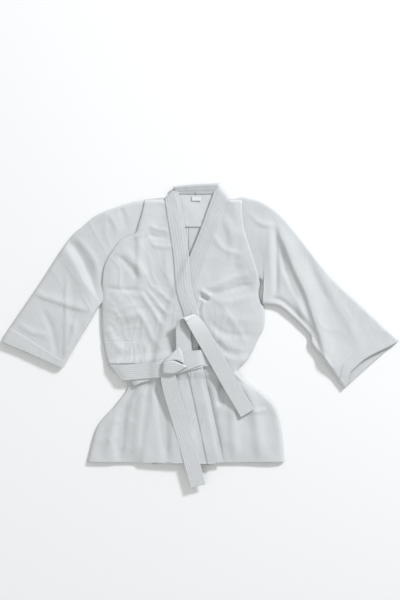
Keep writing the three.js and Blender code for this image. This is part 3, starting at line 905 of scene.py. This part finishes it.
# %% Sleeves
CUFF_HEM = 28
SLEEVE_TOP = 10.0
SLEEVE_MIDDLE = 5.2  # the height at which a sleeve's two layers meet along its sides
SLEEVES = {
    "right": {
        "outer": [
            (-98, 426), (-134, 425), (-174, 414), (-234, 391), (-273, 360), (-308, 327),
            (-386, 209), (-465, 93), (-484, 60),
        ],
        "inner": [(-206, 166), (-226, 158), (-258, 106), (-292, 50), (-325, -8)],
        "root": [
            (-206, 166), (-203, 192), (-200, 225), (-190, 262), (-172, 288), (-148, 308),
            (-121, 330), (-110, 366), (-102, 404), (-98, 426),
        ],
        "mouth": [(-325, -8), (-404, 25), (-484, 60)],
        "folds": [
            ([(-312, 330), (-277, 278), (-257, 237), (-237, 192), (-222, 160)], -5.5, 15, 7),
            ([(-330, 322), (-298, 270), (-276, 226), (-254, 180)], 5.0, 9, 22),
            ([(-300, 340), (-262, 300), (-238, 262), (-226, 214)], 2.6, 8, 10),
            ([(-314, 240), (-315, 160), (-316, 80), (-320, 0)], 2.2, 10, 6),
            ([(-402, 187), (-341, 166), (-304, 153), (-250, 140)], 3.6, 13, 6),
            ([(-176, 410), (-166, 380), (-160, 352)], -2.2, 8, 8),
            ([(-210, 396), (-190, 366), (-182, 338)], 2.2, 9, 8),
            ([(-380, 150), (-352, 90), (-340, 20)], -2.4, 9, 9),
            ([(-440, 110), (-404, 86), (-360, 78)], 2.2, 8, 9),
            ([(-290, 120), (-300, 70), (-322, 24)], 3.0, 9, 8),
        ],
    },
    "left": {
        "outer": [
            (116, 428), (135, 435), (161, 433), (195, 423), (239, 392), (289, 335), (344, 263),
            (393, 208), (442, 164), (515, 94), (549, 65),
        ],
        "inner": [
            (170, 238), (184, 226), (197, 214), (202, 200), (201, 184), (195, 170), (194, 158),
            (208, 156), (239, 149), (268, 126), (300, 96), (318, 74), (320, 52), (340, 26),
            (372, -18), (405, -62),
        ],
        "root": [(170, 238), (160, 258), (147, 292), (130, 350), (122, 395), (116, 428)],
        "mouth": [(405, -62), (476, 2), (549, 65)],
        "folds": [
            ([(152, 400), (185, 368), (226, 362)], 2.6, 8, 7),
            ([(228, 364), (229, 290), (229, 203), (220, 172)], -5.0, 6, 8),
            ([(214, 366), (212, 290), (214, 206)], 2.4, 10, 10),
            (
                [
                    (228, 366), (252, 309), (278, 244), (304, 190), (326, 124), (345, 68), (360, 13),
                    (396, -26),
                ],
                8.0, 24, 8,
            ),
            ([(236, 330), (246, 270), (262, 214), (290, 150)], -4.0, 8, 10),
            ([(244, 250), (262, 206), (286, 158), (308, 108)], 4.0, 9, 9),
            ([(208, 172), (244, 166), (300, 114), (326, 78)], -3.4, 7, 7),
            ([(316, 76), (334, 40), (372, -10)], 3.0, 8, 8),
            ([(330, 270), (360, 200), (410, 120), (452, 30)], 2.4, 16, 14),
            ([(300, 300), (330, 230), (372, 150)], -2.2, 12, 12),
        ],
    },
}


def mouth_of(side, s):
    """How far the cuff's upper layer is pulled back from the lower one, at shares across."""
    if side == "right":
        return 1.5 * np.sin(np.pi * s)
    return 22 * ease(s, 0, 0.24) * ease(s, 1.02, 0.42) + 0.5


def sleeve_places(side):
    """A sleeve's lower and upper layers, as grids from the root to the mouth."""
    lines = SLEEVES[side]
    rows, columns = counts(460), 96
    u = np.linspace(0, 1, columns)
    # The places across lie closer together towards the two sides, where the tube turns.
    s = 0.4 * u + 0.6 * (0.5 - 0.5 * np.cos(np.pi * u))
    inner, outer = smooth(lines["inner"], rows), smooth(lines["outer"], rows)

    def at_shares(points):
        line = smooth(points, 400)
        return np.column_stack([np.interp(s, np.linspace(0, 1, 400), line[:, k]) for k in (0, 1)])

    root, mouth = at_shares(lines["root"]), at_shares(lines["mouth"])
    grid = ruled(inner, outer, root, mouth, shares=s)
    t = np.linspace(0, 1, rows)[:, None, None]
    pulled = mouth_of(side, s)[None, :, None] * ease(t, 0.55, 1)
    run = grid[-1] - grid[-12]
    run = run / np.linalg.norm(run, axis=1)[:, None]
    upper_grid = grid - pulled * run[None]

    width = np.linalg.norm(grid[:, -1] - grid[:, 0], axis=1)[:, None]
    edge = rounded(np.minimum(s, 1 - s)[None, :] * width, 10)
    from_root = np.linalg.norm(np.diff(grid, axis=0), axis=2).cumsum(axis=0)
    from_root = np.vstack([np.zeros((1, columns)), from_root])
    x, y = upper_grid[..., 0], upper_grid[..., 1]
    high = folds(lines["folds"], x, y) + 2.2 * wander(x, y, 80, 91) + 0.8 * wander(x, y, 34, 92)
    high += 1.3 * wrinkles(x, y, 120 if side == "right" else 50, 90, 22, 101)
    high += 0.9 * wrinkles(x, y, 60 if side == "right" else 110, 70, 20, 111)
    calm = 0.15 + 0.85 * ease(from_root, 24, 74)
    top = SLEEVE_TOP - 3.0 * ease(from_root, 40, 0) + 2.6 * ease(from_root, 30, 90) + high * calm
    top = np.maximum(top, 6.6)
    # The root lies between the back and the front; the rest lies on the floor.
    low = 1.3 + 2.6 * ease(from_root, 46, 24)
    upper = np.dstack([upper_grid, SLEEVE_MIDDLE + (top - SLEEVE_MIDDLE) * edge])
    lower = np.dstack([grid, SLEEVE_MIDDLE + (low - SLEEVE_MIDDLE) * edge])
    return lower, upper


def row_step(layer):
    """The mean spacing of a sleeve's rows at its mouth."""
    return np.linalg.norm(layer[-1] - layer[-2], axis=1).mean()


def tube(name, lower, upper, thick):
    """A flat tube from its two layers, which meet at their sides."""
    ring = np.concatenate([lower, upper[:, -2:0:-1]], axis=1)
    rows, around = ring.shape[:2]
    corner = np.arange((rows - 1) * around).reshape(rows - 1, around)
    after = np.roll(corner, -1, axis=1)
    faces = np.stack([corner, after, after + around, corner + around], axis=2).reshape(-1, 4)
    piece = mesh_piece(name, ring.reshape(-1, 3), faces.tolist(), jacket_cotton)
    # The faces point out of the tube when its highest one points up.
    if max(piece.data.polygons, key=lambda f: f.center.z).normal.z < 0:
        piece.data.flip_normals()
    return thicken(piece, thick)


# Where each sleeve's joint is in plan, which way the sleeve leaves it, and how far along that
# way a bend would start and end. The two points are worked out below, but nothing bends the cloth.
HINGE = {"right": (-177, 296.5), "left": (161, 296.5)}
AWAY = {"right": (-0.940, 0.342), "left": (0.971, 0.238)}
BEND = {"right": (30, 118), "left": (18, 118)}
sleeves, cuffs, sleeve_layers = {}, {}, {}
for side in ("right", "left"):
    lower, upper = sleeve_places(side)
    sleeve_layers[side] = (lower, upper)
    hem_row = len(lower) - 1 - int(round(CUFF_HEM / row_step(lower)))
    body = f"{side}_sleeve"
    to_hem, hem = slice(0, hem_row + 1), slice(hem_row - 1, None)
    sleeve = tube(f"sleeve_tube_{side}", lower[to_hem], upper[to_hem], CLOTH)
    hem_lower = lower[hem] - np.array([0, 0, 0.2])
    hem_upper = upper[hem] + np.array([0, 0, 0.7])
    cuff = tube(f"cuff_hem_{side}", hem_lower, hem_upper, 2.0)
    start, end = (np.array(HINGE[side]) + np.array(AWAY[side]) * far for far in BEND[side])
    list(start * MM)
    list(end * MM)
    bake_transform(sleeve)
    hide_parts(f"sleeve_{side}")
    assign(cuff, body, f"cuff_{side}")
    sleeves[side], cuffs[side] = sleeve, cuff

# %% [markdown]
# ## The belt
#
# The belt is one long strap of many layers of cotton, sewn in eight rows. A strap here is a
# closed bar that is swept along its middle line. Its upper face takes the rows, and its sides are
# rounded. The strap passes twice round the waist, and what lies on top sets its height.

# %% The belt
BELT_ROWS = 8
BELT_THICK = 3.0
BELT_PUFF = 0.45


def top_of_cloth(x, y):
    """The height of the uppermost cloth of the body, without its small wrinkles."""
    right_free, left_free = at_height(RIGHT_FREE, y), at_height(LEFT_FREE, y)
    right_band = ease(x, right_free - BAND_WIDTH - 4, right_free - BAND_WIDTH + 4)
    right_top = right_level(x, y) + BAND_RISE * right_band
    left_seam = left_free + BAND_WIDTH
    left_band = ease(x, left_free - 4, left_free + 4) * ease(x, left_seam + 4, left_seam - 4)
    left_top = left_level(x, y) + BAND_RISE * left_band
    covered = ease(x, right_free + 3, right_free - 3)
    return left_top + (right_top - left_top) * covered + CLOTH_TOP


def calm_line(values, passes):
    """Even out heights along a line, as a stiff strap does."""
    for _ in range(passes):
        values = np.convolve(np.pad(values, 1, "edge"), (0.25, 0.5, 0.25), "valid")
    return values


def strap(name, centres, sides, closed=False):
    """A quilted strap swept along its middle line. Each side vector points across it."""
    if closed:
        run = np.roll(centres, -1, axis=0) - np.roll(centres, 1, axis=0)
    else:
        run = np.gradient(centres, axis=0)
    run /= np.linalg.norm(run, axis=1)[:, None]
    ups = np.cross(run, sides)
    ups /= np.linalg.norm(ups, axis=1)[:, None]
    half, corner = BELT_WIDTH / 2, BELT_THICK / 2
    a = np.linspace(-half + corner, half - corner, 6 * BELT_ROWS + 1)
    turn = np.linspace(np.pi / 2, -np.pi / 2, 7)[1:-1]
    round_a, round_b = half - corner + corner * np.cos(turn), corner * np.sin(turn)
    ring_a = np.concatenate([a, round_a, a[::-1], -round_a])
    ring_b = np.concatenate([a * 0 + corner, round_b, a * 0 - corner, -round_b])
    share = np.clip((ring_a + half) / BELT_WIDTH, 0, 1)
    across, upward = ring_a[None, :, None] * sides[:, None], ring_b[None, :, None] * ups[:, None]
    places = centres[:, None] + across + upward
    rings, around = places.shape[:2]
    faces = []
    for i in range(rings if closed else rings - 1):
        start, following = i * around, ((i + 1) % rings) * around
        for j in range(around):
            k = (j + 1) % around
            faces.append((start + j, following + j, following + k, start + k))
    if not closed:
        faces.append(tuple(range(around)))
        faces.append(tuple((rings - 1) * around + j for j in reversed(range(around))))
    shares = np.tile(share, rings)
    piece = mesh_piece(name, places.reshape(-1, 3), faces, belt_cotton, shares, np.ones(len(shares)))
    if piece.data.polygons[0].normal.dot(type(piece.location)(ups[0])) < 0:
        piece.data.flip_normals()
    quilted(piece, BELT_ROWS, BELT_PUFF)
    return settle(piece), places[:, : len(a)]


def belt_turn(name, front, low, lift):
    """One turn round the waist: in front over the cloth, down at each side, and flat behind."""
    line = smooth(front, 400)
    right_end = at_height(RIGHT_SIDE, front[0, 1]) - lift / 2 - 1
    left_end = at_height(LEFT_SIDE, front[-1, 1]) + lift / 2 + 1
    line = even(line[(line[:, 0] > right_end + 4) & (line[:, 0] < left_end - 4)], 120)
    run = np.gradient(line, axis=0)
    run /= np.linalg.norm(run, axis=1)[:, None]
    across = np.column_stack([-run[:, 1], run[:, 0]])
    heights = []
    for share in (-0.4, 0, 0.4):
        x, y = (line + across * share * BELT_WIDTH).T
        inland = np.minimum(line[:, 0] - right_end, left_end - line[:, 0])
        heights.append(low + 2 + (top_of_cloth(x, y) - low - 2) * rounded(inland - 2, 22))
    heights = calm_line(np.max(heights, axis=0), 10) + lift
    # At the left the jacket's cloth hangs over the belt, so the belt goes in under it.
    heights -= (lift + 4.5) * ease(line[:, 0], 52, 74)
    heights = np.maximum(heights, low + 2.6)
    before = np.column_stack([line, heights])
    back_y = np.interp(line[::-1, 0], BELT_BACK[:, 0], BELT_BACK[:, 1])
    behind = np.column_stack([line[::-1, 0], back_y, np.full(len(line), low)])
    bend = np.linspace(0, np.pi, 9)[1:-1]

    def side_bend(x, out, top, bottom):
        middle, reach = (top[1:] + bottom[1:]) / 2, (top[1:] - bottom[1:]) / 2
        turned = middle + np.cos(bend)[:, None] * reach
        return np.column_stack([x + out * 4 * np.sin(bend), turned])

    left_bend = side_bend(line[-1, 0], 1, before[-1], behind[0])
    right_bend = side_bend(line[0, 0], -1, before[0], behind[-1])[::-1]
    loop = np.vstack([before, left_bend, behind, right_bend])
    # Each end slants as the body's side does, so the strap's sides shear towards it.
    lean_right = 0.62 * ease(loop[:, 0], -120, right_end)
    lean_left = 0.35 * ease(loop[:, 0], 100, left_end)
    sides = np.column_stack([lean_left - lean_right, np.ones(len(loop)), np.zeros(len(loop))])
    slope = np.interp(loop[:, 0], line[:, 0], across[:, 0] / across[:, 1])
    sides[:, 0] += slope
    return strap(name, loop, sides, closed=True)


inner_turn, _ = belt_turn("strap_turn_inner", BELT_INNER, 4.7, 2.6)
outer_turn, outer_face = belt_turn("strap_turn_outer", BELT_OUTER, 1.6, 5.8)
assign(inner_turn, "jacket", "belt_inner_turn")
assign(outer_turn, "jacket", "belt_outer_turn")

# %% [markdown]
# ## The knot, the loop and the tails
#
# The strap's wrap across the front is a flat lozenge with a slanting end, and a fold stands out
# above it. The loop rises from the knot and turns over into the left tail, which is edge-on where
# it turns and lies flat farther on. The right tail hangs straight out of the knot.

# %% The knot, the loop and the tails
KNOT_LOW = 25.0
KNOT_ROWS = 6
TAIL_LIFT = 2.0  # the least height of a tail's middle line above the cloth


def pillow(name, left, right, near, far, high, edge, tilt):
    """A closed padded form from its plan: flat below, and rounded off all round its upper face."""
    across, along = 6 * KNOT_ROWS + 1, 44
    left, right = smooth(plan(*left), along), smooth(plan(*right), along)
    near, far = smooth(plan(*near), across), smooth(plan(*far), across)
    grid = ruled(left, right, near, far)
    x, y = grid[..., 0], grid[..., 1]
    width = np.linalg.norm(right - left, axis=1)[:, None]
    s = np.linspace(0, 1, across)[None, :]
    t = np.linspace(0, 1, along)[:, None]
    length = np.linalg.norm(left[-1] - left[0])
    away = np.minimum(np.minimum(s, 1 - s) * width, np.minimum(t, 1 - t) * length)
    slope = (x - x.mean()) * tilt[0] + (y - y.mean()) * tilt[1]
    rise = rounded(away, edge)
    rowed = BELT_PUFF * (np.abs(np.sin(np.pi * KNOT_ROWS * s)) ** 0.6 - 1)
    seam = KNOT_LOW + BELT_THICK
    upper = np.dstack([grid, seam + (high - seam + slope) * rise + rowed * rise])
    lower = np.dstack([grid, seam - BELT_THICK * rise])
    count = along * across
    faces = grid_faces(along, across)
    faces += [[count + k for k in reversed(face)] for face in faces]
    places = np.vstack([upper.reshape(-1, 3), lower.reshape(-1, 3)])
    piece = mesh_piece(name, places, faces, belt_cotton)
    mend = piece.modifiers.new("joined edges", "WELD")
    mend.merge_threshold = 0.00001
    return settle(piece), upper


# The wrap is drawn from its folded left end to its slanting right end, with its rows along it.
wrap, wrap_face = pillow(
    "knot_wrap",
    [(-64, 12), (-40, 15), (-10, 3)],
    [(-67, -21), (-34, -22), (-1, -3)],
    [(-64, 12), (-66.5, -4), (-67, -21)],
    [(-10, 3), (-5, 0), (-1, -3)],
    high=41, edge=6, tilt=(0.04, 0.05),
)
assign(wrap, "jacket", "belt_knot")
standing, _ = pillow(
    "knot_fold",
    [(-62, 12), (-44, 30), (-23, 49)],
    [(-56, 9), (-30, 13), (-9, 3)],
    [(-62, 12), (-59, 10), (-56, 9)],
    [(-23, 49), (-13, 28), (-9, 3)],
    high=38, edge=5, tilt=(-0.06, -0.2),
)
assign(standing, "jacket", "belt_knot_fold")

# The loop's strap comes up from the knot, over the crest and into the left tail. Along each
# strap, the side vectors at a few of its steps say how it turns.
LOOP_PLACES = plan(
    (-10, 22, 25), (-11, 60, 26), (-12, 96, 30), (-9, 118, 34), (1, 127, 36), (10, 121, 36),
)
LOOP_TURNS = plan(
    (1, 0, 0), (1, 0, -0.15), (0.95, 0, -0.35), (0.8, 0.1, -0.7), (0.6, 0.25, -0.8),
    (0.72, 0.42, -0.55),
)
LEFT_PLACES = plan(
    (10, 121, 36), (22, 104, 33), (40, 74, 29), (62, 36, 27), (108, -46, 20), (154, -124, 16),
)
LEFT_TURNS = plan(
    (0.72, 0.42, -0.55), (0.82, 0.5, -0.28), (0.85, 0.52, -0.08), (0.85, 0.52, 0), (0.85, 0.52, 0),
)
LEFT_STEPS = (0, 16, 40, 80, 199)
RIGHT_PLACES = plan((-50, -10, 27), (-50, -34, 27), (-41, -76, 22), (-13, -170, 15), (26.6, -312, 3))
RIGHT_TURNS = plan((1, 0.26, 0), (1, 0.26, 0))
TAIL_STEPS = 200


def turned(turns, steps, count):
    """Side vectors that are given at some steps, carried evenly to every step between them."""
    every = np.arange(count)
    carried = [calm_line(np.interp(every, steps, turns[:, k]), 12) for k in range(3)]
    carried = np.column_stack(carried)
    return carried / np.linalg.norm(carried, axis=1)[:, None]


def resting(points):
    """A tail's middle line, raised where it would sink below the cloth it comes down onto."""
    line = smooth(points, TAIL_STEPS)
    run = np.gradient(line[:, :2], axis=0)
    run /= np.linalg.norm(run, axis=1)[:, None]
    side = np.column_stack([-run[:, 1], run[:, 0]]) * BELT_WIDTH / 2
    below = np.max([top_of_cloth(*(line[:, :2] + side * k).T) for k in (-1, 0, 1)], axis=0)
    line[:, 2] = np.maximum(line[:, 2], calm_line(below, 6) + TAIL_LIFT)
    line[:, 2] = calm_line(line[:, 2], 20)
    return line


loop_path = smooth(LOOP_PLACES, 70)
loop_steps = [np.argmin(np.linalg.norm(loop_path - place, axis=1)) for place in LOOP_PLACES]
loop, _ = strap("strap_loop", loop_path, turned(LOOP_TURNS, loop_steps, len(loop_path)))
assign(loop, "jacket", "belt_loop")

left_turned = turned(LEFT_TURNS, LEFT_STEPS, TAIL_STEPS)
left_tail, left_face = strap("strap_tail_left", resting(LEFT_PLACES), left_turned)
right_turned = turned(RIGHT_TURNS, (0, TAIL_STEPS - 1), TAIL_STEPS)
right_tail, right_face = strap("strap_tail_right", resting(RIGHT_PLACES), right_turned)

# Each tail: its piece, its quilted face, and where a bend would start and end, which nothing uses.
TAILS = {
    "left": (left_tail, left_face, (0.008, 0.125, 0), (0.030, 0.091, 0)),
    "right": (right_tail, right_face, (-0.050, -0.020, 0), (-0.042, -0.052, 0)),
}
for side, (tail, _, start, end) in TAILS.items():
    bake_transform(tail)
    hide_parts(f"belt_tail_{side}")

# %% [markdown]
# ## Stitches
#
# Thread beads run along the quilting rows of the band and the belt, along each hem, round the
# patch and along the label's upper edge. They are gathered in a few groups, and each group is made as
# one piece.

# %% Stitches
def rows_on(face, rows, start=0.0, end=1.0, lift=0.1):
    """The sewn rows along a quilted face, between two shares of its length."""
    t = np.linspace(start, end, 160)
    return [on_sheet(face, np.full(160, k / rows), t, lift) for k in range(1, rows)]


def row_across(face, t, start=0.0, end=1.0, lift=0.2):
    """One row across a sheet at a share of its length."""
    s = np.linspace(start, end, 120)
    return on_sheet(face, s, np.full(120, t), lift)


def row_beside(face, s, start=0.0, end=1.0, lift=0.2):
    """One row along a sheet at a share of its width."""
    t = np.linspace(start, end, 200)
    return on_sheet(face, np.full(200, s), t, lift)


def stitches(name, lines, seed, pitch=4.5):
    """Lay thread beads along lines of places, one bead at every pitch in millimetres."""
    points = np.vstack(lines)
    edges, first = [], 0
    for line in lines:
        edges += [(k, k + 1) for k in range(first, first + len(line) - 1)]
        first += len(line)
    data = bpy.data.meshes.new(name)
    data.from_pydata((points * MM).tolist(), edges, [])
    made = bpy.data.objects.new(name, data)
    bpy.context.collection.objects.link(made)
    add_tree(made, STITCHES, {"Pitch": pitch * MM, "Seed": seed, "Thread": white_thread})
    settle(made)
    print(f"{name}: {len(lines)} rows, {len(made.data.polygons)} faces")
    return made


# A row in quilting lies at the bottom of its groove.
IN_BAND = 0.25 - BAND_PUFF
IN_BELT = 0.1 - BELT_PUFF

jacket_rows = rows_on(lapel_faces["right"], BAND_ROWS, 0.45, 0.985, IN_BAND)
jacket_rows += rows_on(lapel_faces["left"], BAND_ROWS, 0.72, 0.985, IN_BAND)
for side, outer_share in (("right", 0.02), ("left", 0.98)):
    face = front_faces[side]
    jacket_rows += [row_across(face, 0.012), row_across(face, 0.026)]
    jacket_rows += [row_beside(face, outer_share, 0.64, 0.985)]
    jacket_rows += [row_beside(face, 1 - outer_share, 0.45, 0.98)]
jacket_rows += [row_across(patch_face, t, 0.05, 0.95) for t in (0.95, 0.05)]
jacket_rows += [row_beside(patch_face, 0.95, 0.05, 0.95)]
jacket_rows += [row_across(lining_face, 0.06, 0.03, 0.97)]
collar_rows = [row_beside(collar_face, k / BAND_ROWS, 0.03, 0.97, IN_BAND) for k in range(1, 4)]
belt_rows = rows_on(outer_face[:120], BELT_ROWS, 0.03, 0.8, IN_BELT)
belt_rows += rows_on(wrap_face, BELT_ROWS, 0.08, 0.9, -0.1)
ROWS = {"jacket": (jacket_rows, 3), "collar": (collar_rows, 4), "belt": (belt_rows, 5)}
for name, (lines, seed) in ROWS.items():
    made = stitches(f"{name}_stitches", lines, seed)
    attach(made, "jacket")

made = stitches("label_stitches", [row_across(label_face, 0.93, 0.04, 0.96, 0.05)], 6, 2.4)
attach(made, "label")

for side in ("right", "left"):
    lower, upper = sleeve_layers[side]
    cuff_face = upper + np.array([0, 0, 0.75])
    reach = row_step(lower) * (len(lower) - 1)
    shares = [1 - from_mouth / reach for from_mouth in (6, CUFF_HEM - 3)]
    cuff_rows = [row_across(cuff_face, t, 0.03, 0.97) for t in shares]
    made = stitches(f"cuff_stitches_{side}", cuff_rows, 7)
    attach(made, f"{side}_sleeve")

for side, (_, face, start, end) in TAILS.items():
    made = stitches(f"{side}_tail_stitches", rows_on(face, BELT_ROWS, 0.02, 0.97, IN_BELT), 8)
    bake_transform(made)
